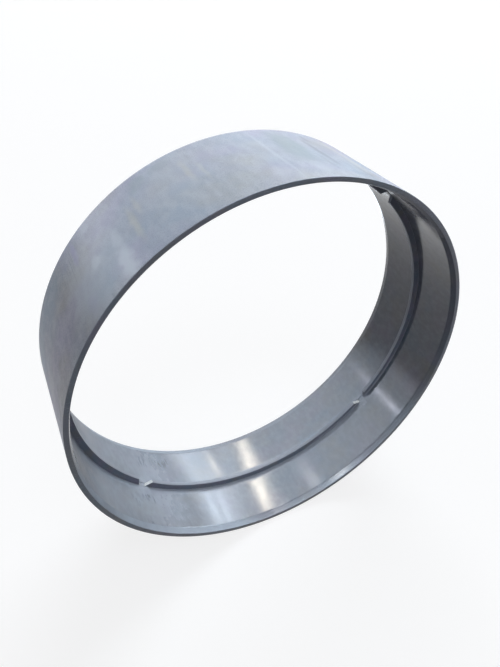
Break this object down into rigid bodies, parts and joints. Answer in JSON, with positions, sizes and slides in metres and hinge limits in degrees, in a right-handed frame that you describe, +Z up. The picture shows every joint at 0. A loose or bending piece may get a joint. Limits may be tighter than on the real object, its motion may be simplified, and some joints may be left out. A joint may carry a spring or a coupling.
{
  "type": "pvc riser ring",
  "caption": "Short grey PVC sleeve with tapered mouths and a cemented strip stop round the middle of its bore, for raising or joining a shaft pipe.",
  "frame": {"origin": "on the line that the ring stands on, halfway between its two ends", "axes": "+Z up, +Y along the ring's level axis, away from the front mouth"},
  "size_m": [0.414, 0.12, 0.4139],
  "materials": {
    "pipe_pvc": "extruded satin gloss",
    "strip_pvc": "sawn"
  },
  "bodies": {
    "root": {"ring_body": "pipe_pvc", "stop_strip_right": "strip_pvc", "stop_strip_top": "strip_pvc", "stop_strip_left": "strip_pvc", "stop_strip_bottom": "strip_pvc"}
  },
  "joints": []
}
